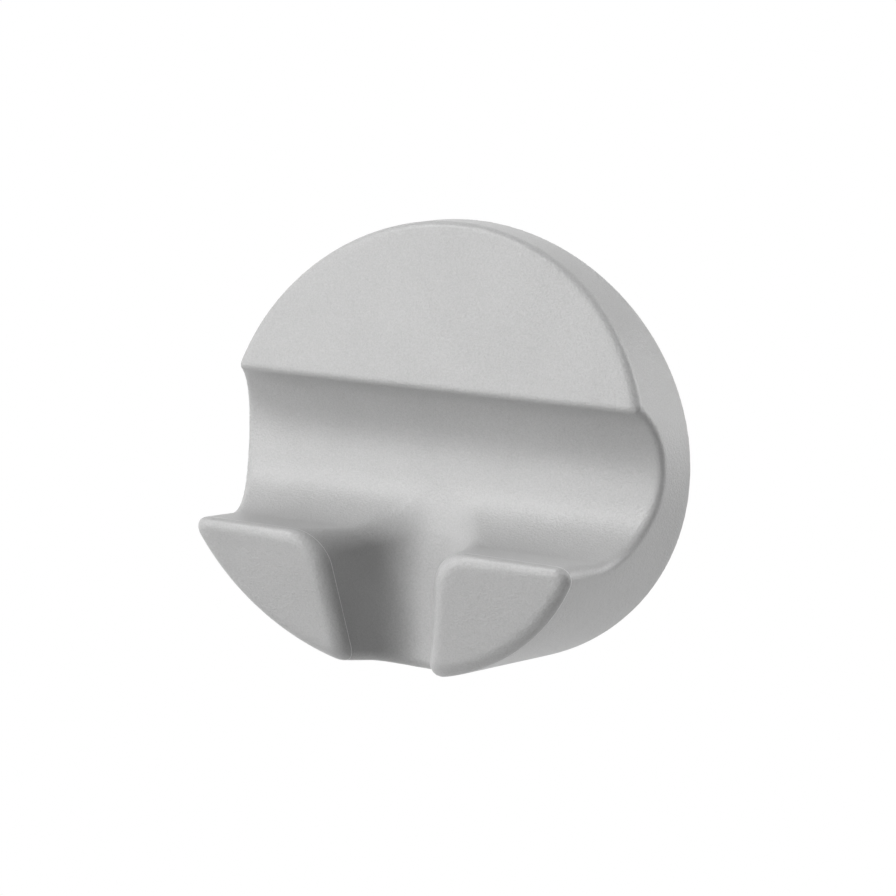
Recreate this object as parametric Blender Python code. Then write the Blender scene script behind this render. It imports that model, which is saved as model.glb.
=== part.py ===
"""Round magnetic wall hook with a cradle, two prongs and a magnet pack behind a screwed cover.

The wall is the plane y = 0 and the hook reaches out towards -Y, with +Z up. All sizes are in metres.
The moulded body is described by its distance to plain faces (side, upper face, cradle, notch and prong
faces). These are joined with round edges of named radii, and the result is turned into a mesh. The
bores and bosses of the body, and every other piece, are turned shapes cut and joined by Booleans.
"""

import math

import bmesh
import bpy
from mathutils import Matrix, Vector

# Clearance between pieces that touch on the real product.
FIT_GAP = 0.0003

# Outer form of the body.
BACK_RADIUS = 0.0350
SIDE_DRAFT = math.radians(3.6)
AXIS_RISE = math.radians(11.9)
FACE_LEAN = math.radians(20.0)
FACE_WALL = 0.0035
CRADLE_WALL = 0.0024
CRADLE_RADIUS = 0.0110
CRADLE_HEIGHT = 0.0032
FLOOR_RISE = math.radians(15.0)
PRONG_REACH = 0.0145
PRONG_LEAN = math.radians(7.6)
NOTCH_RADIUS = 0.0075
NOTCH_DEPTH = 0.0210
NOTCH_SPREAD = math.radians(8.0)
NOTCH_LEAN = math.radians(8.0)
NOTCH_TAPER = math.radians(5.7)

# Edge radii of the body. The prong edge shrinks from the middle to the sides, and the edge of the notch
# grows from the saddle at its back to the lips at the prong faces.
REAR_EDGE = 0.0005
BROW_EDGE = 0.0008
RIM_EDGE = 0.0010
TIP_EDGE = 0.0030
PRONG_EDGE = 0.0024
OUTER_EDGE = 0.0013
SADDLE_EDGE = 0.0025
LIP_EDGE = 0.0051

# Hollow back of the body.
RIM_WALL = 0.0027
LEDGE_WIDTH = 0.0029
CORE_MARGIN = 0.0013
CORE_DEPTH = 0.0015
POCKET_WALL = 0.0026
POCKET_INSET = 0.0015
POCKET_RIB = 0.0024
BOSS_WALL = 0.0019
PILOT_SPARE = 0.0004

# Pad, cover, magnets and keeper.
PAD_THICKNESS = 0.0010
PAD_PROUD = 0.0004
PAD_EDGE = 0.0002
COVER_FLOOR = 0.0008
COVER_EDGE = 0.0004
MAGNET_COUNT = 6
MAGNET_DIAMETER = 0.0120
MAGNET_THICKNESS = 0.0025
MAGNET_EDGE = 0.0003
KEEPER_WIDTH = 0.0130
KEEPER_THICKNESS = 0.0012
KEEPER_EDGE = 0.0002

# Screws.
SCREW_COUNT = 3
SCREW_CIRCLE_RADIUS = 0.0095
SCREW_DIAMETER = 0.0026
SCREW_LENGTH = 0.0057
SCREW_POINT_LENGTH = 0.0012
SCREW_POINT_DIAMETER = 0.0010
SCREW_HEAD_DIAMETER = 0.0048
SCREW_HEAD_HEIGHT = 0.0015
SCREW_HEAD_SINK = 0.0001
SCREW_HEAD_EDGE = 0.0003
RECESS_WIDTH = 0.0008
RECESS_LENGTH = 0.0028
RECESS_DEPTH = 0.0008

# Fineness of the meshes.
VOXEL = 0.0005
KEPT_SHARE = 0.03
ROUND_STEPS = 64
SMALL_STEPS = 24
SHARP_ANGLE = math.radians(35.0)
MERGE_DISTANCE = 0.0000001
CUT_SPARE = 0.0010

# Radii that follow from the sizes above, from the rim inwards.
REBATE_RADIUS = BACK_RADIUS - RIM_WALL
COVER_RADIUS = REBATE_RADIUS - FIT_GAP
BORE_RADIUS = COVER_RADIUS - LEDGE_WIDTH
KEEPER_OUTER_RADIUS = BORE_RADIUS - FIT_GAP
KEEPER_INNER_RADIUS = KEEPER_OUTER_RADIUS - KEEPER_WIDTH
MAGNET_CIRCLE_RADIUS = (KEEPER_OUTER_RADIUS + KEEPER_INNER_RADIUS) / 2.0
MAGNET_POCKET_RADIUS = MAGNET_DIAMETER / 2.0 + FIT_GAP
CORE_RADIUS = KEEPER_INNER_RADIUS - CORE_MARGIN
PILOT_RADIUS = SCREW_DIAMETER / 2.0 + FIT_GAP
BOSS_RADIUS = PILOT_RADIUS + BOSS_WALL
COUNTERBORE_RADIUS = SCREW_HEAD_DIAMETER / 2.0 + FIT_GAP

# Places along Y that follow from the sizes above, from the wall outwards.
RIM_Y = -PAD_PROUD
COVER_BACK_Y = -(PAD_THICKNESS + FIT_GAP)
POCKET_FLOOR_Y = COVER_BACK_Y - COVER_FLOOR
MAGNET_BACK_Y = POCKET_FLOOR_Y - FIT_GAP
COVER_FRONT_Y = MAGNET_BACK_Y - MAGNET_THICKNESS
KEEPER_BACK_Y = COVER_FRONT_Y - FIT_GAP
KEEPER_FRONT_Y = KEEPER_BACK_Y - KEEPER_THICKNESS
SEAT_Y = KEEPER_FRONT_Y - FIT_GAP
CORE_Y = SEAT_Y - CORE_DEPTH
HEAD_BACK_Y = COVER_BACK_Y - SCREW_HEAD_SINK
HEAD_FRONT_Y = HEAD_BACK_Y - SCREW_HEAD_HEIGHT
COUNTERBORE_Y = HEAD_FRONT_Y - FIT_GAP
SCREW_TIP_Y = HEAD_FRONT_Y - SCREW_LENGTH
PILOT_Y = SCREW_TIP_Y - PILOT_SPARE

# The front faces at the height of the axis, and the height of the prong lips.
FACE_Y = SEAT_Y - FACE_WALL - BORE_RADIUS * math.tan(FACE_LEAN)
CRADLE_Y = CORE_Y - CRADLE_WALL - CRADLE_RADIUS
PRONG_Y = CRADLE_Y - PRONG_REACH
NOTCH_BACK_Y = PRONG_Y + NOTCH_DEPTH
NOTCH_CENTRE_Y = NOTCH_BACK_Y - NOTCH_RADIUS
LIP_Z = CRADLE_HEIGHT - CRADLE_RADIUS / math.cos(FLOOR_RISE) + PRONG_REACH * math.tan(FLOOR_RISE)
POCKET_TOP_Z = CRADLE_HEIGHT - CRADLE_RADIUS - POCKET_WALL


class Field:
    """A number that varies through space, held as an output socket of a geometry node tree."""

    def __init__(self, tree, socket):
        self.tree = tree
        self.socket = socket

    def math(self, operation, *others):
        """Return the field that a Math node makes from this field and the other inputs."""
        node = self.tree.nodes.new("ShaderNodeMath")
        node.operation = operation
        for entry, value in zip(node.inputs, (self, *others)):
            if isinstance(value, Field):
                self.tree.links.new(value.socket, entry)
            else:
                entry.default_value = value
        return Field(self.tree, node.outputs[0])

    def __add__(self, other):
        return self.math("ADD", other)

    def __sub__(self, other):
        return self.math("SUBTRACT", other)

    def __mul__(self, other):
        return self.math("MULTIPLY", other)

    def __neg__(self):
        return self.math("MULTIPLY", -1.0)


def highest(first, *others):
    """Return the greatest of several fields: the space that all of them enclose."""
    for other in others:
        first = first.math("MAXIMUM", other)
    return first


def lowest(first, second):
    """Return the lesser of two fields: the space that either of them encloses."""
    return first.math("MINIMUM", second)


def length(first, second):
    """Return the length of a vector from its two components."""
    return (first * first + second * second).math("SQRT")


def rounded(first, second, radius):
    """Return the space that two fields enclose, with a round edge where their faces meet.

    The radius is a number or a field.
    """
    inside = highest(first, second).math("MINIMUM", -radius)
    return inside + length(highest(first + radius, 0.0), highest(second + radius, 0.0))


def clear_scene():
    """Remove every object of the scene."""
    for item in list(bpy.data.objects):
        bpy.data.objects.remove(item)


def make_material(name, colour, roughness, metallic):
    """Return a Principled material of one colour."""
    material = bpy.data.materials.new(name)
    material.use_nodes = True
    shader = material.node_tree.nodes["Principled BSDF"]
    shader.inputs["Base Color"].default_value = (*colour, 1.0)
    shader.inputs["Roughness"].default_value = roughness
    shader.inputs["Metallic"].default_value = metallic
    return material


def add_object(name, mesh):
    """Link a new object with the given mesh to the scene."""
    item = bpy.data.objects.new(name, mesh)
    bpy.context.scene.collection.objects.link(item)
    return item


def turned_mesh(name, profile, steps, closed=False):
    """Return the mesh swept by a profile of (radius, y) points turned round the Y axis.

    An open profile starts and ends on the axis. A closed one makes a ring.
    """
    shape = bmesh.new()
    points = [shape.verts.new((radius, y, 0.0)) for radius, y in profile]
    pairs = list(zip(points, points[1:]))
    if closed:
        pairs.append((points[-1], points[0]))
    edges = [shape.edges.new(pair) for pair in pairs]
    bmesh.ops.spin(
        shape,
        geom=points + edges,
        axis=(0.0, 1.0, 0.0),
        cent=(0.0, 0.0, 0.0),
        angle=math.tau,
        steps=steps,
        use_merge=True,
    )
    bmesh.ops.remove_doubles(shape, verts=shape.verts, dist=MERGE_DISTANCE)
    bmesh.ops.recalc_face_normals(shape, faces=shape.faces)
    mesh = bpy.data.meshes.new(name)
    shape.to_mesh(mesh)
    shape.free()
    return mesh


def box_mesh(name, width, depth, height):
    """Return a box of the given sizes along X, Y and Z, centred on the origin."""
    shape = bmesh.new()
    bmesh.ops.create_cube(shape, size=1.0, matrix=Matrix.Diagonal((width, depth, height, 1.0)))
    mesh = bpy.data.meshes.new(name)
    shape.to_mesh(mesh)
    shape.free()
    return mesh


def disc_profile(radius, back_y, front_y, edge=0.0):
    """Return the (radius, y) profile of a disc, with its two rims chamfered by edge."""
    if edge == 0.0:
        return [(0.0, back_y), (radius, back_y), (radius, front_y), (0.0, front_y)]
    return [
        (0.0, back_y),
        (radius - edge, back_y),
        (radius, back_y - edge),
        (radius, front_y + edge),
        (radius - edge, front_y),
        (0.0, front_y),
    ]


def add_tool(mesh, place=(0.0, 0.0, 0.0)):
    """Link a shape that only cuts or joins another object."""
    tool = add_object("tool_" + mesh.name, mesh)
    tool.location = place
    tool.hide_render = True
    tool.display_type = "WIRE"
    return tool


def combine(item, tool, operation):
    """Add a Boolean modifier that applies a tool to an object."""
    modifier = item.modifiers.new(operation.title(), "BOOLEAN")
    modifier.operation = operation
    modifier.object = tool
    modifier.solver = "EXACT"


def dress(mesh, material):
    """Shade a mesh smooth, apart from its sharp edges, and give it a material."""
    mesh.shade_smooth()
    mesh.set_sharp_from_angle(angle=SHARP_ANGLE)
    mesh.materials.clear()
    mesh.materials.append(material)


def finish(item, material):
    """Turn an object's modifiers into plain mesh, drop their tools, and dress it."""
    tools = [modifier.object for modifier in item.modifiers if modifier.type == "BOOLEAN"]
    evaluated = item.evaluated_get(bpy.context.evaluated_depsgraph_get())
    mesh = bpy.data.meshes.new_from_object(evaluated)
    mesh.name = item.name
    item.modifiers.clear()
    item.data = mesh
    for tool in tools:
        bpy.data.objects.remove(tool)
    dress(mesh, material)


def circle_places(count, radius, y):
    """Return evenly spaced places on a circle round the Y axis, with the first one at the top."""
    angles = [math.pi / 2.0 + math.tau * index / count for index in range(count)]
    return [Vector((radius * math.cos(angle), y, radius * math.sin(angle))) for angle in angles]


def cradle_field(y, z):
    """Return the solid behind the upper face and under the cradle, without sides."""
    upper_face = (z * math.tan(FACE_LEAN) - y + FACE_Y) * math.cos(FACE_LEAN)
    above = lowest(upper_face, z - CRADLE_HEIGHT)
    ahead = -y + CRADLE_Y
    up = z - CRADLE_HEIGHT
    cradle = -length(ahead, up) + CRADLE_RADIUS
    along_floor = ahead * math.cos(FLOOR_RISE) + up * math.sin(FLOOR_RISE)
    over_floor = up * math.cos(FLOOR_RISE) - ahead * math.sin(FLOOR_RISE) + CRADLE_RADIUS
    return highest(rounded(cradle, above, BROW_EDGE), lowest(over_floor, along_floor))


def notch_field(x, y, z):
    """Return the space outside the notch, which spreads forwards from a round back and narrows downwards."""
    above_lip = z - LIP_Z
    radius = above_lip * math.tan(NOTCH_TAPER) + NOTCH_RADIUS
    behind = y - NOTCH_CENTRE_Y - above_lip * math.tan(NOTCH_LEAN)
    aside = x.math("ABSOLUTE")
    across = aside * math.cos(NOTCH_SPREAD) + behind * math.sin(NOTCH_SPREAD)
    along = behind * math.cos(NOTCH_SPREAD) - aside * math.sin(NOTCH_SPREAD)
    flank = (radius - length(across, highest(along, 0.0))) * math.cos(NOTCH_TAPER)
    return lowest(flank, -z + CRADLE_HEIGHT)


def body_field(x, y, z):
    """Return the solid of the body, with its two cored prongs."""
    depth = -y + RIM_Y
    off_axis = length(x, z - depth * math.tan(AXIS_RISE))
    side = (off_axis + depth * math.tan(SIDE_DRAFT) - BACK_RADIUS) * math.cos(SIDE_DRAFT)
    prong_face = (-y - z * math.tan(PRONG_LEAN) + PRONG_Y) * math.cos(PRONG_LEAN)
    forward = highest(-y + NOTCH_BACK_Y, 0.0) * (1.0 / NOTCH_DEPTH)
    saddle_edge = forward * (LIP_EDGE - SADDLE_EDGE) + SADDLE_EDGE
    front = rounded(cradle_field(y, z), notch_field(x, y, z), saddle_edge)
    rim_edge = highest(depth * (TIP_EDGE / (RIM_Y - PRONG_Y)), RIM_EDGE)
    outward = x.math("ABSOLUTE") * (1.0 / BACK_RADIUS)
    prong_edge = outward * (OUTER_EDGE - PRONG_EDGE) + PRONG_EDGE
    outer = rounded(prong_face, rounded(side, front, rim_edge), prong_edge)
    outer = rounded(outer, y - RIM_Y, REAR_EDGE)
    pocket = highest(
        outer + POCKET_WALL,
        z - POCKET_TOP_Z,
        length(x, z) - (BORE_RADIUS - POCKET_INSET),
        -x.math("ABSOLUTE") + POCKET_RIB / 2.0,
        y - (SEAT_Y + CUT_SPARE),
    )
    return highest(outer, -pocket)


def body_tree():
    """Return a node tree whose output is the mesh of the body's outer form and prong pockets."""
    tree = bpy.data.node_groups.new("body_form", "GeometryNodeTree")
    tree.interface.new_socket("Geometry", in_out="OUTPUT", socket_type="NodeSocketGeometry")
    position = tree.nodes.new("GeometryNodeInputPosition")
    axes = tree.nodes.new("ShaderNodeSeparateXYZ")
    tree.links.new(position.outputs["Position"], axes.inputs["Vector"])
    x, y, z = [Field(tree, axes.outputs[axis]) for axis in "XYZ"]

    reach = BACK_RADIUS + CUT_SPARE
    top = reach + (RIM_Y - FACE_Y) * math.tan(AXIS_RISE)
    low = Vector((-reach, PRONG_Y - CUT_SPARE, -reach))
    cells = [math.ceil(span / VOXEL) for span in Vector((reach, CUT_SPARE, top)) - low]
    volume = tree.nodes.new("GeometryNodeVolumeCube")
    volume.inputs["Background"].default_value = -1.0
    volume.inputs["Min"].default_value = low
    volume.inputs["Max"].default_value = low + VOXEL * Vector(cells)
    for axis, count in zip("XYZ", cells):
        volume.inputs["Resolution " + axis].default_value = count + 1
    tree.links.new((-body_field(x, y, z)).socket, volume.inputs["Density"])

    surface = tree.nodes.new("GeometryNodeVolumeToMesh")
    surface.inputs["Threshold"].default_value = 0.0
    tree.links.new(volume.outputs["Volume"], surface.inputs["Volume"])
    output = tree.nodes.new("NodeGroupOutput")
    tree.links.new(surface.outputs["Mesh"], output.inputs["Geometry"])
    return tree


def make_body(material):
    """Make the moulded body: outer form, rebate and bore for the pack, core and screw bosses."""
    body = add_object("hook_body", bpy.data.meshes.new("hook_body"))
    body.modifiers.new("Form", "NODES").node_group = body_tree()
    thinning = body.modifiers.new("Thinning", "DECIMATE")
    thinning.ratio = KEPT_SHARE
    bore_profile = [
        (0.0, CUT_SPARE),
        (REBATE_RADIUS, CUT_SPARE),
        (REBATE_RADIUS, COVER_FRONT_Y - FIT_GAP),
        (BORE_RADIUS, COVER_FRONT_Y - FIT_GAP),
        (BORE_RADIUS, SEAT_Y),
        (CORE_RADIUS, SEAT_Y),
        (CORE_RADIUS, CORE_Y),
        (0.0, CORE_Y),
    ]
    combine(body, add_tool(turned_mesh("bore", bore_profile, ROUND_STEPS)), "DIFFERENCE")
    boss = disc_profile(BOSS_RADIUS, COVER_FRONT_Y - FIT_GAP, CORE_Y - CUT_SPARE)
    pilot = disc_profile(PILOT_RADIUS, 0.0, PILOT_Y)
    for place in circle_places(SCREW_COUNT, SCREW_CIRCLE_RADIUS, 0.0):
        combine(body, add_tool(turned_mesh("boss", boss, SMALL_STEPS), place), "UNION")
    for place in circle_places(SCREW_COUNT, SCREW_CIRCLE_RADIUS, 0.0):
        combine(body, add_tool(turned_mesh("pilot", pilot, SMALL_STEPS), place), "DIFFERENCE")
    finish(body, material)
    return [body]


def make_cover(material):
    """Make the back cover, with magnet pockets in front and sunk screw holes from behind."""
    profile = disc_profile(COVER_RADIUS, COVER_BACK_Y, COVER_FRONT_Y, COVER_EDGE)
    cover = add_object("back_cover", turned_mesh("back_cover", profile, ROUND_STEPS))
    pocket = disc_profile(MAGNET_POCKET_RADIUS, POCKET_FLOOR_Y, COVER_FRONT_Y - CUT_SPARE)
    for place in circle_places(MAGNET_COUNT, MAGNET_CIRCLE_RADIUS, 0.0):
        combine(cover, add_tool(turned_mesh("pocket", pocket, SMALL_STEPS), place), "DIFFERENCE")
    screw_hole = [
        (0.0, 0.0),
        (COUNTERBORE_RADIUS, 0.0),
        (COUNTERBORE_RADIUS, COUNTERBORE_Y),
        (PILOT_RADIUS, COUNTERBORE_Y),
        (PILOT_RADIUS, COVER_FRONT_Y - CUT_SPARE),
        (0.0, COVER_FRONT_Y - CUT_SPARE),
    ]
    for place in circle_places(SCREW_COUNT, SCREW_CIRCLE_RADIUS, 0.0):
        combine(cover, add_tool(turned_mesh("hole", screw_hole, SMALL_STEPS), place), "DIFFERENCE")
    finish(cover, material)
    return [cover]


def make_keeper(material):
    """Make the flat steel ring that lies on the magnets."""
    profile = [
        (KEEPER_INNER_RADIUS, KEEPER_BACK_Y),
        (KEEPER_OUTER_RADIUS - KEEPER_EDGE, KEEPER_BACK_Y),
        (KEEPER_OUTER_RADIUS, KEEPER_BACK_Y - KEEPER_EDGE),
        (KEEPER_OUTER_RADIUS, KEEPER_FRONT_Y),
        (KEEPER_INNER_RADIUS, KEEPER_FRONT_Y),
    ]
    keeper = add_object("keeper_ring", turned_mesh("keeper_ring", profile, ROUND_STEPS, closed=True))
    finish(keeper, material)
    return [keeper]


def make_magnets(material):
    """Make the disc magnets, which share one mesh and stand in the pockets of the cover."""
    profile = disc_profile(MAGNET_DIAMETER / 2.0, 0.0, -MAGNET_THICKNESS, MAGNET_EDGE)
    mesh = turned_mesh("magnet", profile, SMALL_STEPS)
    dress(mesh, material)
    magnets = []
    for number, place in enumerate(circle_places(MAGNET_COUNT, MAGNET_CIRCLE_RADIUS, MAGNET_BACK_Y), 1):
        magnet = add_object(f"magnet_{number}", mesh)
        magnet.location = place
        magnets.append(magnet)
    return magnets


def make_screws(material):
    """Make the screws, which share one mesh with a cross recess in the head."""
    shank = SCREW_DIAMETER / 2.0
    tip = SCREW_TIP_Y - HEAD_BACK_Y
    profile = [
        (0.0, 0.0),
        (SCREW_HEAD_DIAMETER / 2.0 - SCREW_HEAD_EDGE, 0.0),
        (SCREW_HEAD_DIAMETER / 2.0, -SCREW_HEAD_EDGE),
        (SCREW_HEAD_DIAMETER / 2.0, -SCREW_HEAD_HEIGHT),
        (shank, -SCREW_HEAD_HEIGHT),
        (shank, tip + SCREW_POINT_LENGTH),
        (SCREW_POINT_DIAMETER / 2.0, tip),
        (0.0, tip),
    ]
    model = add_object("screw_model", turned_mesh("screw", profile, SMALL_STEPS))
    for size in ((RECESS_LENGTH, RECESS_WIDTH), (RECESS_WIDTH, RECESS_LENGTH)):
        combine(model, add_tool(box_mesh("recess", size[0], 2.0 * RECESS_DEPTH, size[1])), "DIFFERENCE")
    finish(model, material)
    screws = []
    for number, place in enumerate(circle_places(SCREW_COUNT, SCREW_CIRCLE_RADIUS, HEAD_BACK_Y), 1):
        screw = add_object(f"screw_{number}", model.data)
        screw.location = place
        screws.append(screw)
    bpy.data.objects.remove(model)
    return screws


def make_pad(material):
    """Make the anti-slip pad, whose back is the face that touches the wall."""
    profile = disc_profile(COVER_RADIUS, 0.0, -PAD_THICKNESS, PAD_EDGE)
    pad = add_object("grip_pad", turned_mesh("grip_pad", profile, ROUND_STEPS))
    finish(pad, material)
    return [pad]


def main():
    """Build every piece and hang all of them on one empty."""
    clear_scene()
    moulded = make_material("silver_grey_moulding", (0.45, 0.45, 0.45), 0.42, 0.0)
    pieces = make_body(moulded)
    pieces += make_cover(make_material("dark_grey_moulding", (0.07, 0.07, 0.075), 0.55, 0.0))
    pieces += make_keeper(make_material("zinc_plated_steel", (0.56, 0.57, 0.58), 0.38, 1.0))
    pieces += make_magnets(make_material("nickel_plate", (0.66, 0.65, 0.62), 0.22, 1.0))
    pieces += make_screws(make_material("blackened_steel", (0.09, 0.09, 0.095), 0.40, 1.0))
    pieces += make_pad(make_material("grip_rubber", (0.03, 0.03, 0.03), 0.80, 0.0))
    root = bpy.data.objects.new("magnetic_hook", None)
    bpy.context.scene.collection.objects.link(root)
    for piece in pieces:
        piece.parent = root


main()
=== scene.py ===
"""Looks of a round magnetic wall hook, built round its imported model.

The wall is the plane y = 0, the hook reaches out towards -Y, and +Z is up. All sizes are in metres.
The moulded body is made again at a finer pitch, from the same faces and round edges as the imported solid,
and the screws get their threads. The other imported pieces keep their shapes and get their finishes.
"""

import logging
import math
from collections.abc import Mapping
from dataclasses import dataclass, fields
from enum import Enum

import bmesh
import bpy
from mathutils import Matrix, Vector


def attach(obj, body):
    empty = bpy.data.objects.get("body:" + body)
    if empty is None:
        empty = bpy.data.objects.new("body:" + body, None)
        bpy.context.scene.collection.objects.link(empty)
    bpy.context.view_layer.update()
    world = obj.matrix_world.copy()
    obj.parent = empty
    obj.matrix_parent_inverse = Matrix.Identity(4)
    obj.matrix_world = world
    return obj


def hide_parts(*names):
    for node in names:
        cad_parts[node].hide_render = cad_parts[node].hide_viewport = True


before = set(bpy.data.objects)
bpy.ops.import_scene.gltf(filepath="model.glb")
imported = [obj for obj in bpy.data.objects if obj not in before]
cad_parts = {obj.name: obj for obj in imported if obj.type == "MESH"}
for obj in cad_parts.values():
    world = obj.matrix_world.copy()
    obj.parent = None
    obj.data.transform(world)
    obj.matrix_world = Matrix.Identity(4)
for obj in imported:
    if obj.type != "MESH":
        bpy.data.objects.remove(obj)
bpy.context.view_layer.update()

LOG = logging.getLogger("magnetic_hook")
BODY = "root"
RIGHT_ANGLE = math.pi / 2.0
WHITE = (1.0, 1.0, 1.0, 1.0)
BLACK = (0.0, 0.0, 0.0, 1.0)

Colour = tuple[float, float, float]
Point = tuple[float, float, float]


class Slot(Enum):
    """The record's material slots."""

    MOULDING = "silver_grey_moulding"
    COVER = "dark_grey_moulding"
    KEEPER = "zinc_plated_steel"
    MAGNET = "nickel_plate"
    SCREW = "blackened_steel"
    PAD = "grip_rubber"


class Relief(Enum):
    """The kinds of fine relief that a finish can have."""

    GRAIN = "moulded_grain"
    SCRATCHES = "fine_scratches"


class Field:
    """A value that varies through space or over a surface, held as a node's output socket."""

    def __init__(self, socket: bpy.types.NodeSocket) -> None:
        """Keep the socket."""
        self.socket = socket

    def math(self, operation: str, *others: "Field | float") -> "Field":
        """Return what a Math node makes of this field.

        Args:
            operation: The Math node's operation.
            others: The node's further inputs.

        Returns:
            The node's result.
        """
        inputs = dict(enumerate((self, *others)))
        return Graph(self.socket.id_data).field("ShaderNodeMath", inputs, operation=operation)

    def __add__(self, other: "Field | float") -> "Field":
        """Return the sum."""
        return self.math("ADD", other)

    def __sub__(self, other: "Field | float") -> "Field":
        """Return the difference."""
        return self.math("SUBTRACT", other)

    def __mul__(self, other: "Field | float") -> "Field":
        """Return the product."""
        return self.math("MULTIPLY", other)

    def __truediv__(self, other: "Field | float") -> "Field":
        """Return the quotient."""
        return self.math("DIVIDE", other)

    def __neg__(self) -> "Field":
        """Return the field with its sign turned."""
        return self.math("MULTIPLY", -1.0)

    def tan(self) -> "Field":
        """Return the tangent of an angle."""
        return self.math("TANGENT")

    def cos(self) -> "Field":
        """Return the cosine of an angle."""
        return self.math("COSINE")

    def sin(self) -> "Field":
        """Return the sine of an angle."""
        return self.math("SINE")


def highest(first: Field, *others: Field | float) -> Field:
    """Return the greatest of several fields: the space that all of them enclose.

    Args:
        first: A field.
        others: The fields or numbers to set against it.

    Returns:
        The greatest of them, point by point.
    """
    for other in others:
        first = first.math("MAXIMUM", other)
    return first


def lowest(first: Field, second: Field | float) -> Field:
    """Return the lesser of two fields: the space that either of them encloses."""
    return first.math("MINIMUM", second)


def length(first: Field, second: Field) -> Field:
    """Return the length of a vector from its two components."""
    return (first * first + second * second).math("SQRT")


def rounded(first: Field, second: Field, radius: Field) -> Field:
    """Join two faces with a round edge.

    Args:
        first: The distance to one face, negative inside.
        second: The distance to the other face.
        radius: The radius of the edge.

    Returns:
        The distance to the space that both faces enclose.
    """
    inside = lowest(highest(first, second), -radius)
    return inside + length(highest(first + radius, 0.0), highest(second + radius, 0.0))


class Graph:
    """A node tree that is being built."""

    def __init__(self, tree: bpy.types.NodeTree) -> None:
        """Keep the tree."""
        self.tree = tree

    def node(
        self, kind: str, inputs: Mapping[str | int, object] | None = None, **settings: object
    ) -> bpy.types.Node:
        """Add a node to the tree.

        Args:
            kind: The node's type.
            inputs: What goes into its sockets, by name or number: a field, a list of fields or a value.
            settings: The node's own settings.

        Returns:
            The new node.
        """
        node = self.tree.nodes.new(kind)
        for name, value in settings.items():
            setattr(node, name, value)
        for key, value in (inputs or {}).items():
            for item in value if isinstance(value, list) else [value]:
                if isinstance(item, Field):
                    self.tree.links.new(item.socket, node.inputs[key])
                else:
                    node.inputs[key].default_value = item
        return node

    def field(
        self,
        kind: str,
        inputs: Mapping[str | int, object] | None = None,
        output: str | int = 0,
        **settings: object,
    ) -> Field:
        """Add a node and return one of its outputs.

        Args:
            kind: The node's type.
            inputs: What goes into its sockets, by name or number.
            output: The output's name or number.
            settings: The node's own settings.

        Returns:
            The output as a field.
        """
        return Field(self.node(kind, inputs, **settings).outputs[output])

    def axes(self, vector: Field) -> list[Field]:
        """Return the three components of a vector."""
        node = self.node("ShaderNodeSeparateXYZ", {"Vector": vector})
        return [Field(socket) for socket in node.outputs]


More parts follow.
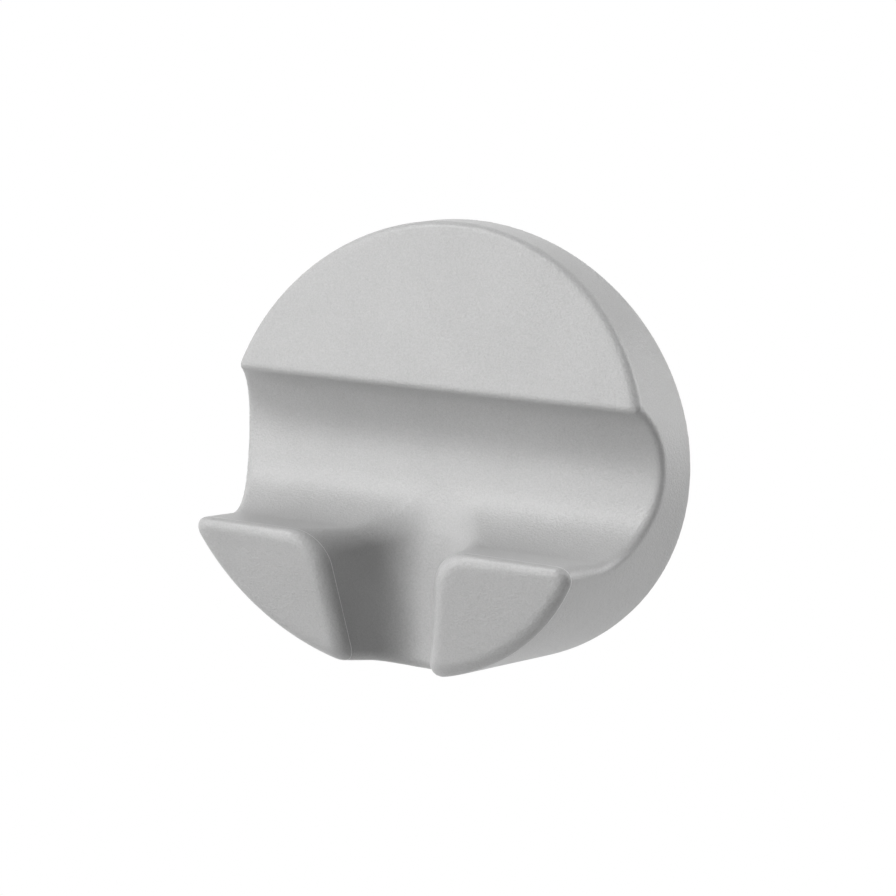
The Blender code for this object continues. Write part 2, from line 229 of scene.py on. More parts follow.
class Form(Graph):
    """A geometry tree with named inputs for its sizes, which ends in a plain mesh of one material."""

    def __init__(self, name: str, sizes: Mapping[str, object]) -> None:
        """Make the tree and an input for each size.

        Args:
            name: The tree's name.
            sizes: The sizes by name: a length, a count or a place.
        """
        super().__init__(bpy.data.node_groups.new(name, "GeometryNodeTree"))
        self.values: dict[str, object] = {}
        kinds = {float: "NodeSocketFloat", int: "NodeSocketInt", Vector: "NodeSocketVector"}
        kinds[bpy.types.Object] = "NodeSocketObject"
        for title, value in sizes.items():
            kind = kinds[type(value)]
            socket = self.tree.interface.new_socket(title, in_out="INPUT", socket_type=kind)
            self.values[socket.identifier] = value
        self.tree.interface.new_socket("Geometry", in_out="OUTPUT", socket_type="NodeSocketGeometry")
        entry = self.node("NodeGroupInput")
        self.sizes = {title: Field(entry.outputs[title]) for title in sizes}

    def rod(self, radius: Field, back: Field, front: Field, steps: Field) -> Field:
        """Return a round bar along Y.

        Args:
            radius: The radius of the bar.
            back: The place of its back end along Y.
            front: The place of its front end.
            steps: The number of flats round it.

        Returns:
            The bar as a mesh.
        """
        inputs = {"Vertices": steps, "Radius": radius, "Depth": back - front}
        bar = self.field("GeometryNodeMeshCylinder", inputs, output="Mesh")
        middle = self.field("ShaderNodeCombineXYZ", {"Y": (back + front) * 0.5})
        place = {"Geometry": bar, "Translation": middle, "Rotation": (RIGHT_ANGLE, 0.0, 0.0)}
        return self.field("GeometryNodeTransform", place)

    def ring(self, item: Field, count: Field, radius: Field) -> Field:
        """Repeat a shape evenly round the Y axis, with the first one at the top.

        Args:
            item: The shape, at the middle of the ring.
            count: How often it is repeated.
            radius: The radius of the ring.

        Returns:
            The repeated shape as one mesh.
        """
        flat = self.field("GeometryNodeMeshCircle", {"Vertices": count, "Radius": radius})
        inputs = {"Geometry": flat, "Rotation": (RIGHT_ANGLE, 0.0, 0.0)}
        upright = self.field("GeometryNodeTransform", inputs)
        inputs = {"Geometry": upright, "Rotation": (0.0, -RIGHT_ANGLE, 0.0)}
        places = self.field("GeometryNodeTransform", inputs)
        copies = self.field("GeometryNodeInstanceOnPoints", {"Points": places, "Instance": item})
        return self.field("GeometryNodeRealizeInstances", {"Geometry": copies})

    def cut(self, item: Field, tools: list[Field]) -> Field:
        """Return a mesh with other meshes cut out of it."""
        inputs = {"Mesh 1": item, "Mesh 2": tools}
        return self.field("GeometryNodeMeshBoolean", inputs, operation="DIFFERENCE", solver="MANIFOLD")

    def join(self, items: list[Field]) -> Field:
        """Return the union of several meshes."""
        inputs = {"Mesh 2": items}
        return self.field("GeometryNodeMeshBoolean", inputs, operation="UNION", solver="MANIFOLD")

    def bake(self, name: str, shape: Field, material: bpy.types.Material) -> bpy.types.Object:
        """End the tree, run it, and keep its result as a plain mesh.

        Args:
            name: The name of the new object.
            shape: The tree's last shape.
            material: The material of its faces.

        Returns:
            The new object, at the origin and without a modifier.
        """
        plain = self.field("GeometryNodeRealizeInstances", {"Geometry": shape})
        dressed = self.field("GeometryNodeSetMaterial", {"Geometry": plain, "Material": material})
        self.node("NodeGroupOutput", {"Geometry": dressed})
        item = bpy.data.objects.new(name, bpy.data.meshes.new(name))
        bpy.context.scene.collection.objects.link(item)
        modifier = item.modifiers.new("Form", "NODES")
        modifier.node_group = self.tree
        for identifier, value in self.values.items():
            modifier[identifier] = value
        evaluated = item.evaluated_get(bpy.context.evaluated_depsgraph_get())
        mesh = bpy.data.meshes.new_from_object(evaluated)
        item.modifiers.remove(modifier)
        item.data = mesh
        mesh.name = name
        mesh.materials.clear()
        mesh.materials.append(material)
        return item


def shade(item: bpy.types.Object, sharp_angle: float) -> None:
    """Shade a piece smooth, apart from edges that are sharper than an angle."""
    item.data.shade_smooth()
    item.data.set_sharp_from_angle(angle=sharp_angle)


def seat(item: bpy.types.Object, slot: Slot, *nodes: str) -> None:
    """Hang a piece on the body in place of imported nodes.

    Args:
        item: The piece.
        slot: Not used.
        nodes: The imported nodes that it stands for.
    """
    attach(item, BODY)
    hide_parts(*nodes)
    item.data.calc_loop_triangles()
    LOG.info("%s: %d triangles, for %s", item.name, len(item.data.loop_triangles), ", ".join(nodes))


class Effect(Graph):
    """A shader node group that several materials share."""

    def __init__(self, name: str, inputs: list[str], outputs: list[str]) -> None:
        """Make the group and its sockets.

        Args:
            name: The group's name.
            inputs: The names of its numbers. A vector named Vector comes before them.
            outputs: The names of the values that it puts out.
        """
        super().__init__(bpy.data.node_groups.new(name, "ShaderNodeTree"))
        self.tree.interface.new_socket("Vector", in_out="INPUT", socket_type="NodeSocketVector")
        for title in inputs:
            self.tree.interface.new_socket(title, in_out="INPUT", socket_type="NodeSocketFloat")
        for title in outputs:
            self.tree.interface.new_socket(title, in_out="OUTPUT", socket_type="NodeSocketFloat")
        entry = self.node("NodeGroupInput")
        self.entries = {socket.name: Field(socket) for socket in entry.outputs if socket.name}

    def noise(self, vector: Field, size: Field, detail: float) -> Field:
        """Return a noise from 0 to 1.

        Args:
            vector: The place in metres.
            size: The size of its largest features in metres.
            detail: The number of finer layers.

        Returns:
            The noise.
        """
        scale = size.math("POWER", -1.0)
        inputs = {"Vector": vector, "Scale": scale, "Detail": detail}
        return self.field("ShaderNodeTexNoise", inputs, noise_dimensions="3D")

    def close(self, outputs: Mapping[str, Field]) -> bpy.types.NodeTree:
        """End the group with its outputs and return it."""
        self.node("NodeGroupOutput", outputs)
        return self.tree


@dataclass(frozen=True)
class MouldedGrain:
    """The grain of a spark-eroded mould: pebbles in relief, and a tone that drifts over the surface."""

    pebble_size: float = 2.2
    pebble_smoothness: float = 0.6
    fine_detail: float = 2.0
    cloud_detail: float = 3.0
    fine_height: float = 0.65
    fine_tone: float = 0.75

    def build(self) -> bpy.types.NodeTree:
        """Make the group.

        Returns:
            The group. Height and Tone run from 0 to 1.
        """
        effect = Effect(Relief.GRAIN.value, ["Size", "Drift"], ["Height", "Tone"])
        place, size, drift = [effect.entries[name] for name in ("Vector", "Size", "Drift")]
        fine = effect.noise(place, size, self.fine_detail)
        scale = (size * self.pebble_size).math("POWER", -1.0)
        inputs = {"Vector": place, "Scale": scale, "Smoothness": self.pebble_smoothness}
        pebble = effect.field("ShaderNodeTexVoronoi", inputs, feature="SMOOTH_F1")
        height = fine * self.fine_height + (-pebble + 1.0) * (1.0 - self.fine_height)
        cloud = effect.noise(place, drift, self.cloud_detail)
        tone = cloud * (1.0 - self.fine_tone) + fine * self.fine_tone
        return effect.close({"Height": height, "Tone": tone})


@dataclass(frozen=True)
class FineScratches:
    """Fine handling scratches on plated metal, in two directions, over a cloudy tone."""

    first_turn: Point = (0.0, 0.6, 0.0)
    first_scale: Point = (0.06, 1.0, 1.0)
    second_turn: Point = (0.0, -0.9, 0.0)
    second_scale: Point = (1.0, 1.0, 0.05)
    line_detail: float = 1.0
    line_start: float = 0.55
    line_end: float = 0.80
    cloud_detail: float = 3.0
    cloud_tone: float = 0.7

    def build(self) -> bpy.types.NodeTree:
        """Make the group.

        Returns:
            The group. Height and Tone run from 0 to 1.
        """
        effect = Effect(Relief.SCRATCHES.value, ["Size", "Drift"], ["Height", "Tone"])
        place, size, drift = [effect.entries[name] for name in ("Vector", "Size", "Drift")]
        noises = []
        for turn, scale in ((self.first_turn, self.first_scale), (self.second_turn, self.second_scale)):
            inputs = {"Vector": place, "Rotation": turn, "Scale": scale}
            stretched = effect.field("ShaderNodeMapping", inputs)
            noises.append(effect.noise(stretched, size, self.line_detail))
        inputs = {"Value": highest(*noises), "From Min": self.line_start, "From Max": self.line_end}
        marks = effect.field("ShaderNodeMapRange", inputs)
        cloud = effect.noise(place, drift, self.cloud_detail)
        tone = cloud * self.cloud_tone + (-marks + 1.0) * (1.0 - self.cloud_tone)
        return effect.close({"Height": -marks + 1.0, "Tone": tone})


EFFECTS = {Relief.GRAIN: MouldedGrain().build(), Relief.SCRATCHES: FineScratches().build()}


@dataclass(frozen=True)
class Finish:
    """A finish of two near tones, a range of roughness, and a fine relief."""

    slot: Slot
    dark_tone: Colour
    light_tone: Colour
    least_roughness: float
    most_roughness: float
    relief: Relief = Relief.GRAIN
    relief_size: float = 0.00028
    relief_depth: float = 0.000012
    drift: float = 0.012
    metallic: float = 0.0
    specular: float = 0.5

    def colour(self, graph: Graph, colour: Field, place: Field) -> Field:
        """Return the surface's colour, from the mix of the two tones."""
        return colour

    def height(self, graph: Graph, height: Field, place: Field) -> Field:
        """Return the height of the relief, from 0 to 1 times its depth."""
        return height

    def material(self) -> bpy.types.Material:
        """Make the material.

        Returns:
            A Principled material whose colour, roughness and relief vary over the surface.
        """
        material = bpy.data.materials.new(self.slot.value + "_finish")
        material.use_nodes = True
        graph = Graph(material.node_tree)
        shader = graph.tree.nodes["Principled BSDF"]
        shader.inputs["Metallic"].default_value = self.metallic
        shader.inputs["Specular IOR Level"].default_value = self.specular
        place = graph.field("ShaderNodeTexCoord", output="Object")
        effect = graph.node("ShaderNodeGroup", node_tree=EFFECTS[self.relief])
        graph.tree.links.new(place.socket, effect.inputs["Vector"])
        effect.inputs["Size"].default_value = self.relief_size
        effect.inputs["Drift"].default_value = self.drift
        spread = Field(effect.outputs["Tone"])
        inputs = {"Fac": spread, "Color1": (*self.dark_tone, 1.0), "Color2": (*self.light_tone, 1.0)}
        colour = self.colour(graph, graph.field("ShaderNodeMixRGB", inputs), place)
        graph.tree.links.new(colour.socket, shader.inputs["Base Color"])
        inputs = {"Value": spread, "To Min": self.most_roughness, "To Max": self.least_roughness}
        roughness = graph.field("ShaderNodeMapRange", inputs)
        graph.tree.links.new(roughness.socket, shader.inputs["Roughness"])
        height = self.height(graph, Field(effect.outputs["Height"]), place)
        inputs = {"Height": height, "Strength": 1.0, "Distance": self.relief_depth}
        bump = graph.field("ShaderNodeBump", inputs)
        graph.tree.links.new(bump.socket, shader.inputs["Normal"])
        return material


@dataclass(frozen=True)
class SilverMoulding(Finish):
    """The body's satin silver-grey moulding, with a fine raised seam round the prongs, painted pale as a
    highlight.

    The line runs where the round edges of the prong faces end. Its place follows from the faces' place
    and lean, and from the radii of their edges in the middle and at the reach of the sides.
    """

    slot: Slot = Slot.MOULDING
    dark_tone: Colour = (0.34, 0.34, 0.34)
    light_tone: Colour = (0.55, 0.55, 0.55)
    least_roughness: float = 0.29
    most_roughness: float = 0.37
    specular: float = 0.35
    relief_size: float = 0.00024
    relief_depth: float = 0.00010
    face_y: float = 0.0
    face_lean: float = 0.0
    middle_radius: float = 0.0
    side_radius: float = 0.0
    reach: float = 1.0
    line_width: float = 0.00024
    # pale colour painted on the seam: a painted highlight where the prong fillets end
    painted_highlight_colour: Colour = (0.85, 0.85, 0.85)
    line_height: float = 0.6

    def line(self, graph: Graph, place: Field) -> Field:
        """Return 1 on the raised seam with its painted highlight and 0 off it.

        Args:
            graph: The material's node tree.
            place: The place on the surface.

        Returns:
            The mask of the seam and its painted highlight.
        """
        x, y, z = graph.axes(place)
        behind = (z * math.tan(self.face_lean) + y - self.face_y) * math.cos(self.face_lean)
        shrink = (self.side_radius - self.middle_radius) / self.reach
        off = (behind - self.middle_radius - x.math("ABSOLUTE") * shrink).math("ABSOLUTE")
        inputs = {"Value": off, "From Max": self.line_width / 2.0, "To Min": 1.0, "To Max": 0.0}
        return graph.field("ShaderNodeMapRange", inputs, interpolation_type="SMOOTHSTEP")

    def colour(self, graph: Graph, colour: Field, place: Field) -> Field:
        """Return the surface's colour, with a painted highlight along the seam."""
        # the seam is painted pale: a painted highlight along the end of the prong fillets
        inputs = {"Fac": self.line(graph, place), "Color1": colour, "Color2": (*self.painted_highlight_colour, 1.0)}
        return graph.field("ShaderNodeMixRGB", inputs)

    def height(self, graph: Graph, height: Field, place: Field) -> Field:
        """Return the height of the grain, which is raised along the seam."""
        return height + self.line(graph, place) * self.line_height


DARK_MOULDING = Finish(
    Slot.COVER,
    dark_tone=(0.060, 0.060, 0.064),
    light_tone=(0.082, 0.082, 0.087),
    least_roughness=0.46,
    most_roughness=0.62,
)
ZINC_PLATE = Finish(
    Slot.KEEPER,
    dark_tone=(0.50, 0.52, 0.54),
    light_tone=(0.62, 0.63, 0.64),
    least_roughness=0.28,
    most_roughness=0.46,
    relief=Relief.SCRATCHES,
    relief_size=0.00035,
    relief_depth=0.000003,
    drift=0.004,
    metallic=1.0,
)
NICKEL_PLATE = Finish(
    Slot.MAGNET,
    dark_tone=(0.60, 0.58, 0.54),
    light_tone=(0.71, 0.69, 0.66),
    least_roughness=0.16,
    most_roughness=0.30,
    relief=Relief.SCRATCHES,
    relief_size=0.00025,
    relief_depth=0.000002,
    drift=0.005,
    metallic=1.0,
)
BLACKENED_STEEL = Finish(
    Slot.SCREW,
    dark_tone=(0.055, 0.055, 0.060),
    light_tone=(0.120, 0.120, 0.125),
    least_roughness=0.32,
    most_roughness=0.48,
    relief=Relief.SCRATCHES,
    relief_size=0.00015,
    relief_depth=0.000002,
    drift=0.0015,
    metallic=1.0,
)
GRIP_RUBBER = Finish(
    Slot.PAD,
    dark_tone=(0.022, 0.022, 0.023),
    light_tone=(0.036, 0.036, 0.037),
    least_roughness=0.66,
    most_roughness=0.86,
    relief_size=0.00045,
    relief_depth=0.000040,
    drift=0.010,
    specular=0.35,
)


@dataclass(frozen=True)
class HookBody:
    """The moulded body: a slanting drum with a leaning face, a cradle, a notch and two prongs.

    Names ending in _y are places along Y, with the wall at 0, and names ending in _z are heights.
    """

    back_radius: float = 0.0350
    side_draft: float = math.radians(3.6)
    axis_rise: float = math.radians(11.9)
    face_lean: float = math.radians(20.0)
    face_y: float = -0.02079
    cradle_radius: float = 0.0110
    cradle_y: float = -0.0216
    cradle_z: float = 0.0032
    floor_rise: float = math.radians(15.0)
    prong_y: float = -0.0361
    prong_lean: float = math.radians(7.6)
    lip_z: float = -0.0043
    notch_radius: float = 0.0075
    notch_back_y: float = -0.0151
    notch_spread: float = math.radians(8.0)
    notch_lean: float = math.radians(8.0)
    notch_taper: float = math.radians(5.7)
    rim_y: float = -0.0004
    rear_edge: float = 0.0005
    brow_edge: float = 0.0008
    rim_edge: float = 0.0010
    tip_edge: float = 0.0030
    prong_edge: float = 0.0024
    outer_edge: float = 0.0013
    saddle_edge: float = 0.0025
    lip_edge: float = 0.0051
    rebate_radius: float = 0.0323
    ledge_y: float = -0.0052
    bore_radius: float = 0.0291
    seat_y: float = -0.0067
    core_radius: float = 0.0145
    core_y: float = -0.0082
    pocket_wall: float = 0.0026
    pocket_top_z: float = -0.0104
    pocket_radius: float = 0.0276
    pocket_rib: float = 0.0024
    boss_count: int = 3
    boss_circle: float = 0.0095
    boss_radius: float = 0.0035
    pilot_radius: float = 0.0016
    pilot_y: float = -0.0090
    spare: float = 0.0010
    pitch: float = 0.00043
    round_steps: int = 128
    small_steps: int = 32
    sharp_angle: float = math.radians(65.0)

    def cradle(self, size: Mapping[str, Field], y: Field, z: Field) -> Field:
        """Return the distance to the solid behind the upper face and under the cradle.

        Args:
            size: The named sizes.
            y: The place along Y.
            z: The height.

        Returns:
            The distance, negative inside.
        """
        lean = size["face_lean"]
        rise = size["floor_rise"]
        up = z - size["cradle_z"]
        ahead = size["cradle_y"] - y
        face = (z * lean.tan() - y + size["face_y"]) * lean.cos()
        hollow = size["cradle_radius"] - length(ahead, up)
        along_floor = ahead * rise.cos() + up * rise.sin()
        over_floor = up * rise.cos() - ahead * rise.sin() + size["cradle_radius"]
        brow = rounded(hollow, lowest(face, up), size["brow_edge"])
        return highest(brow, lowest(over_floor, along_floor))

    def notch(self, size: Mapping[str, Field], x: Field, y: Field, z: Field) -> Field:
        """Return the distance to the space outside the notch, which narrows downwards.

        Args:
            size: The named sizes.
            x: The place along X.
            y: The place along Y.
            z: The height.

        Returns:
            The distance, negative outside the notch.
        """
        taper = size["notch_taper"]
        spread = size["notch_spread"]
        above_lip = z - size["lip_z"]
        radius = above_lip * taper.tan() + size["notch_radius"]
        behind = y - size["notch_back_y"] + size["notch_radius"] - above_lip * size["notch_lean"].tan()
        aside = x.math("ABSOLUTE")
        across = aside * spread.cos() + behind * spread.sin()
        along = behind * spread.cos() - aside * spread.sin()
        flank = (radius - length(across, highest(along, 0.0))) * taper.cos()
        return lowest(flank, size["cradle_z"] - z)

    def solid(self, size: Mapping[str, Field], x: Field, y: Field, z: Field) -> Field:
        """Return the distance to the body's outer form, with its two cored prongs.

        Args:
            size: The named sizes.
            x: The place along X.
            y: The place along Y.
            z: The height.

        Returns:
            The distance, negative inside.
        """
        draft = size["side_draft"]
        lean = size["prong_lean"]
        depth = size["rim_y"] - y
        off_axis = length(x, z - depth * size["axis_rise"].tan())
        side = (off_axis + depth * draft.tan() - size["back_radius"]) * draft.cos()
        prong_face = (size["prong_y"] - y - z * lean.tan()) * lean.cos()
        forward = (size["notch_back_y"] - y) / (size["notch_back_y"] - size["prong_y"])
        growth = (size["lip_edge"] - size["saddle_edge"]) * highest(forward, 0.0)
        saddle_edge = size["saddle_edge"] + growth
        front = rounded(self.cradle(size, y, z), self.notch(size, x, y, z), saddle_edge)
        slope = size["tip_edge"] / (size["rim_y"] - size["prong_y"])
        rim_edge = highest(depth * slope, size["rim_edge"])
        outward = x.math("ABSOLUTE") / size["back_radius"]
        prong_edge = size["prong_edge"] + (size["outer_edge"] - size["prong_edge"]) * outward
        outer = rounded(prong_face, rounded(side, front, rim_edge), prong_edge)
        outer = rounded(outer, y - size["rim_y"], size["rear_edge"])
        pocket = highest(
            outer + size["pocket_wall"],
            z - size["pocket_top_z"],
            length(x, z) - size["pocket_radius"],
            size["pocket_rib"] * 0.5 - x.math("ABSOLUTE"),
            y - size["seat_y"] - size["spare"],
        )
        return highest(outer, -pocket)

    def build(self, material: bpy.types.Material) -> bpy.types.Object:
        """Make the body's mesh.

        Args:
            material: The material of its faces.

        Returns:
            The body, closed, with its bores and screw bosses.
        """
        reach = self.back_radius + self.spare
        top = reach + (self.rim_y - self.face_y) * math.tan(self.axis_rise)
        low = Vector((-reach, self.prong_y - self.spare, -reach))
        cells = [math.ceil(span / self.pitch) for span in Vector((reach, self.spare, top)) - low]
        sizes = {item.name: getattr(self, item.name) for item in fields(self)}
        del sizes["pitch"], sizes["sharp_angle"]
        sizes["low"] = low
        sizes["high"] = low + self.pitch * Vector(cells)
        form = Form("body_form", sizes)
        size = form.sizes
        x, y, z = form.axes(form.field("GeometryNodeInputPosition"))
        volume = form.field(
            "GeometryNodeVolumeCube",
            {
                "Density": -self.solid(size, x, y, z),
                "Background": -1.0,
                "Min": size["low"],
                "Max": size["high"],
                "Resolution X": cells[0] + 1,
                "Resolution Y": cells[1] + 1,
                "Resolution Z": cells[2] + 1,
            },
        )
        outer = form.field("GeometryNodeVolumeToMesh", {"Volume": volume, "Threshold": 0.0})
        back = size["spare"]
        tools = [
            form.rod(size["rebate_radius"], back, size["ledge_y"], size["round_steps"]),
            form.rod(size["bore_radius"], back, size["seat_y"], size["round_steps"]),
            form.rod(size["core_radius"], back, size["core_y"], size["round_steps"]),
        ]
        hollow = form.cut(outer, tools)
        boss_front = size["core_y"] - size["spare"]
        boss = form.rod(size["boss_radius"], size["ledge_y"], boss_front, size["small_steps"])
        bosses = form.ring(boss, size["boss_count"], size["boss_circle"])
        pilot = form.rod(size["pilot_radius"], back, size["pilot_y"], size["small_steps"])
        pilots = form.ring(pilot, size["boss_count"], size["boss_circle"])
        moulding = form.cut(form.join([hollow, bosses]), [pilots])
        body = form.bake("hook_body_moulding", moulding, material)
        shade(body, self.sharp_angle)
        return body

    def dress(self) -> None:
        """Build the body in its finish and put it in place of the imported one."""
        finish = SilverMoulding(
            face_y=self.prong_y,
            face_lean=self.prong_lean,
            middle_radius=self.prong_edge,
            side_radius=self.outer_edge,
            reach=self.back_radius,
        )
        body = self.build(finish.material())
        seat(body, Slot.MOULDING, "hook_body")


@dataclass(frozen=True)
class CoverScrews:
    """The cross-headed screws that hold the cover, with their threads.

    Each screw is made with the back of its head at 0 along Y, and then set on the circle at head_y.
    """

    count: int = 3
    circle: float = 0.0095
    head_y: float = -0.0014
    head_radius: float = 0.0024
    head_height: float = 0.0015
    head_edge: float = 0.0003
    thread_radius: float = 0.0013
    core_radius: float = 0.0009
    thread_pitch: float = 0.0010
    thread_flank: float = 3.0
    shank_length: float = 0.0057
    point_length: float = 0.0012
    point_radius: float = 0.0005
    recess_length: float = 0.0028
    recess_width: float = 0.0008
    recess_depth: float = 0.0008
    columns: int = 32
    rows_per_turn: int = 8
    edge_rows: int = 4
    sharp_angle: float = math.radians(40.0)

    def shank_radius(self, below_head: float, turn: float) -> float:
        """Return the radius of the threaded shank.

        Args:
            below_head: The distance from the head along the shank.
            turn: The place round the shank, from 0 to 1.

        Returns:
            The radius there.
        """
        place = (below_head / self.thread_pitch + turn) % 1.0
        ridge = max(0.0, 1.0 - self.thread_flank * abs(place - 0.5))
        thread = self.core_radius + (self.thread_radius - self.core_radius) * ridge
        to_tip = (self.shank_length - below_head) / self.point_length
        taper = self.point_radius + (self.thread_radius - self.point_radius) * to_tip
        return min(thread, taper)

    def rings(self) -> list[list[Point]]:
        """Lay out the points that the blank is skinned from.

        Returns:
            The rings of points, from the head to the tip.
        """
        turns = [column / self.columns for column in range(self.columns)]
        quarter = [RIGHT_ANGLE * row / self.edge_rows for row in range(self.edge_rows + 1)]
        inner = self.head_radius - self.head_edge
        profile = [
            (inner + self.head_edge * math.sin(angle), -self.head_edge * (1.0 - math.cos(angle)))
            for angle in quarter
        ]
        profile.append((self.head_radius, -self.head_height))
        rings = [[(radius, y, turn) for turn in turns] for radius, y in profile]
        rows = round(self.shank_length / self.thread_pitch * self.rows_per_turn)
        for row in range(rows + 1):
            along = self.shank_length * row / rows
            y = -self.head_height - along
            rings.append([(self.shank_radius(along, turn), y, turn) for turn in turns])
        return [
            [(r * math.cos(math.tau * turn), y, r * math.sin(math.tau * turn)) for r, y, turn in ring]
            for ring in rings
        ]

    def blank(self) -> bpy.types.Object:
        """Make a screw without its recess.

        Returns:
            A helper object with the closed mesh of one screw.
        """
        shape = bmesh.new()
        rings = [[shape.verts.new(point) for point in ring] for ring in self.rings()]
        for upper, lower in zip(rings, rings[1:]):
            for index in range(self.columns):
                following = (index + 1) % self.columns
                shape.faces.new((upper[index], upper[following], lower[following], lower[index]))
        shape.faces.new(rings[0])
        shape.faces.new(rings[-1])
        bmesh.ops.recalc_face_normals(shape, faces=shape.faces)
        mesh = bpy.data.meshes.new("screw_blank")
        shape.to_mesh(mesh)
        shape.free()
        return bpy.data.objects.new("screw_blank", mesh)

    def build(self, material: bpy.types.Material) -> bpy.types.Object:
        """Cut the cross recess into the blank and set the screws on their circle.

        Args:
            material: The material of the screws.

        Returns:
            The screws as one mesh.
        """
        blank = self.blank()
        names = ("count", "circle", "head_y", "recess_length", "recess_width", "recess_depth")
        sizes = {name: getattr(self, name) for name in names}
        form = Form("screw_form", sizes | {"blank": blank})
        size = form.sizes
        plain = form.field("GeometryNodeObjectInfo", {"Object": size["blank"]}, output="Geometry")
        long, narrow, deep = size["recess_length"], size["recess_width"], size["recess_depth"] * 2.0
        cross = []
        for wide, high in ((long, narrow), (narrow, long)):
            extent = form.field("ShaderNodeCombineXYZ", {"X": wide, "Y": deep, "Z": high})
            cross.append(form.field("GeometryNodeMeshCube", {"Size": extent}, output="Mesh"))
        screw = form.cut(plain, cross)
        place = form.field("ShaderNodeCombineXYZ", {"Y": size["head_y"]})
        screw = form.field("GeometryNodeTransform", {"Geometry": screw, "Translation": place})
        screws = form.bake("cover_screws", form.ring(screw, size["count"], size["circle"]), material)
        shade(screws, self.sharp_angle)
        bpy.data.objects.remove(blank)
        return screws

    def dress(self) -> None:
        """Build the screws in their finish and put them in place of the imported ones."""
        screws = self.build(BLACKENED_STEEL.material())
        seat(screws, Slot.SCREW, *(f"screw_{number}" for number in range(1, self.count + 1)))


@dataclass(frozen=True)
class BackPack:
    """The magnet pack behind the body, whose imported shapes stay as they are."""

    magnet_count: int = 6

    def dress(self) -> None:
        """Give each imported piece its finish."""
        magnets = [f"magnet_{number}" for number in range(1, self.magnet_count + 1)]
        for finish, nodes in (
            (DARK_MOULDING, ["back_cover"]),
            (ZINC_PLATE, ["keeper_ring"]),
            (NICKEL_PLATE, magnets),
            (GRIP_RUBBER, ["grip_pad"]),
        ):
            material = finish.material()
            for name in nodes:
                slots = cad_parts[name].data.materials
                for index in range(len(slots)):
                    slots[index] = material
            LOG.info("%s: %s", ", ".join(nodes), material.name)


def looking(aim: Vector, azimuth: float, elevation: float, roll: float, distance: float) -> Matrix:
    """Place a camera or a lamp that looks at a point.

    Args:
        aim: The point.
        azimuth: The angle round the object in degrees. At 0 the view goes along +Y.
        elevation: The angle above the horizon in degrees.
        roll: The turn about the line of sight in degrees.
        distance: How far off it stands.

    Returns:
        The matrix of the camera or lamp.
    """
    turn = Matrix.Rotation(math.radians(azimuth), 4, "Z")
    tilt = Matrix.Rotation(math.radians(90.0 - elevation), 4, "X")
    spin = Matrix.Rotation(math.radians(roll), 4, "Z")
    return Matrix.Translation(aim) @ turn @ tilt @ spin @ Matrix.Translation((0.0, 0.0, distance))


@dataclass(frozen=True)
class Lamp:
    """A soft rectangular lamp that shines on the hook."""

    name: str
    azimuth: float
    elevation: float
    power: float
    distance: float = 0.9
    width: float = 0.65
    height: float = 0.65

    def build(self) -> None:
        """Make the lamp and turn it towards the hook."""
        data = bpy.data.lights.new(self.name, "AREA")
        data.shape = "RECTANGLE"
        data.size = self.width
        data.size_y = self.height
        data.energy = self.power
        lamp = bpy.data.objects.new(self.name, data)
        lamp.matrix_world = looking(Vector(), self.azimuth, self.elevation, 0.0, self.distance)
        lamp.visible_camera = False
        bpy.context.scene.collection.objects.link(lamp)


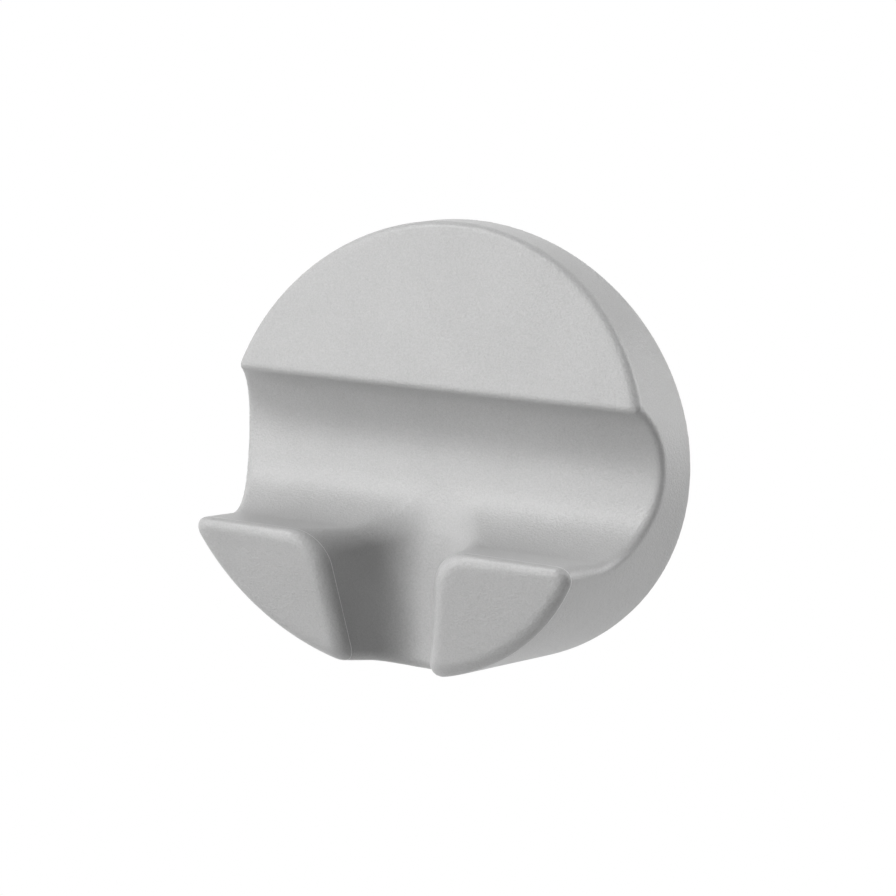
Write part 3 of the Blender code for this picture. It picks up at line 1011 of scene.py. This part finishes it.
@dataclass(frozen=True)
class Studio:
    """The pale floor, the white surroundings and the soft lamps."""

    lamps: tuple[Lamp, ...] = (
        Lamp("upper_left_side_lamp", azimuth=-75.0, elevation=55.0, power=0.2),
        Lamp("upper_left_lamp", azimuth=-40.0, elevation=58.0, power=4.6, width=0.3, height=0.3),
        Lamp("left_lamp", azimuth=-48.0, elevation=28.0, power=0.7),
        Lamp("front_lamp", azimuth=-20.0, elevation=28.0, power=1.4),
        Lamp("low_left_lamp", azimuth=-48.0, elevation=6.0, power=1.75),
        Lamp("low_front_lamp", azimuth=-22.0, elevation=6.0, power=2.5),
        Lamp("low_right_lamp", azimuth=5.0, elevation=6.0, power=1.0),
        Lamp("right_back_lamp", azimuth=130.0, elevation=8.0, power=4.6),
        Lamp("high_right_back_lamp", azimuth=130.0, elevation=25.0, power=2.4),
        Lamp("left_back_lamp", azimuth=-150.0, elevation=30.0, power=0.3),
    )
    floor_z: float = -0.45
    floor_radius: float = 6.0
    floor_steps: int = 96
    floor_colour: Colour = (0.50, 0.50, 0.50)
    shadow_radius: float = 0.15
    white_radius: float = 0.60
    shadow_glow: float = 0.80

    @staticmethod
    def seen(graph: Graph) -> Field:
        """Tell the rays that show the surroundings: from the camera, a gloss or a glass.

        Args:
            graph: The tree of the floor or of the world.

        Returns:
            1 for those rays and 0 for the others.
        """
        path = graph.node("ShaderNodeLightPath")
        names = ("Is Camera Ray", "Is Glossy Ray", "Is Transmission Ray")
        return highest(*(Field(path.outputs[name]) for name in names))

    def floor(self) -> None:
        """Make the floor: plain white far off, and with room for a shadow under the hook."""
        shape = bmesh.new()
        steps = self.floor_steps
        bmesh.ops.create_circle(shape, cap_ends=True, radius=self.floor_radius, segments=steps)
        bmesh.ops.translate(shape, verts=shape.verts, vec=(0.0, 0.0, self.floor_z))
        mesh = bpy.data.meshes.new("studio_floor")
        shape.to_mesh(mesh)
        shape.free()
        material = bpy.data.materials.new("pale_floor")
        material.use_nodes = True
        graph = Graph(material.node_tree)
        shader = graph.tree.nodes["Principled BSDF"]
        shader.inputs["Roughness"].default_value = 1.0
        shader.inputs["Specular IOR Level"].default_value = 0.0
        shader.inputs["Emission Color"].default_value = WHITE
        x, y, _ = graph.axes(graph.field("ShaderNodeTexCoord", output="Object"))
        reach = {"From Min": self.shadow_radius, "From Max": self.white_radius, "Value": length(x, y)}
        far = graph.field("ShaderNodeMapRange", reach)
        seen = self.seen(graph)
        glow = seen * (far * (1.0 - self.shadow_glow) + self.shadow_glow)
        graph.tree.links.new(glow.socket, shader.inputs["Emission Strength"])
        inputs = {"Fac": seen * far, "Color1": (*self.floor_colour, 1.0), "Color2": BLACK}
        lit = graph.field("ShaderNodeMixRGB", inputs)
        graph.tree.links.new(lit.socket, shader.inputs["Base Color"])
        mesh.materials.append(material)
        floor = bpy.data.objects.new("studio_floor", mesh)
        bpy.context.scene.collection.objects.link(floor)

    def surroundings(self) -> None:
        """Make the world white where it is seen, without light of its own on the hook."""
        world = bpy.data.worlds.new("studio_world")
        bpy.context.scene.world = world
        world.use_nodes = True
        graph = Graph(world.node_tree)
        background = graph.tree.nodes["Background"]
        background.inputs["Color"].default_value = WHITE
        graph.tree.links.new(self.seen(graph).socket, background.inputs["Strength"])

    def build(self) -> None:
        """Make the floor, the surroundings and the lamps."""
        self.floor()
        self.surroundings()
        for lamp in self.lamps:
            lamp.build()


@dataclass(frozen=True)
class PhotoCamera:
    """The camera, at the photograph's viewing angle."""

    aim: Point = (-0.00362, -0.00281, -0.00040)
    azimuth: float = 25.574
    elevation: float = 17.137
    roll: float = -0.891
    distance: float = 0.37223
    lens: float = 97.70
    sensor: float = 36.0
    nearest: float = 0.01

    def build(self) -> None:
        """Make the camera and give it to the scene."""
        data = bpy.data.cameras.new("photo_camera")
        data.sensor_width = self.sensor
        data.lens = self.lens
        data.clip_start = self.nearest
        camera = bpy.data.objects.new("photo_camera", data)
        camera.matrix_world = looking(
            Vector(self.aim), self.azimuth, self.elevation, self.roll, self.distance
        )
        bpy.context.scene.collection.objects.link(camera)
        bpy.context.scene.camera = camera


def main() -> None:
    """Build the pieces, the studio and the camera, and report each piece."""
    logging.basicConfig(level=logging.INFO, format="%(name)s: %(message)s")
    HookBody().dress()
    CoverScrews().dress()
    BackPack().dress()
    Studio().build()
    PhotoCamera().build()
    bpy.context.scene.view_settings.view_transform = "Standard"


if __name__ == "__main__":
    main()
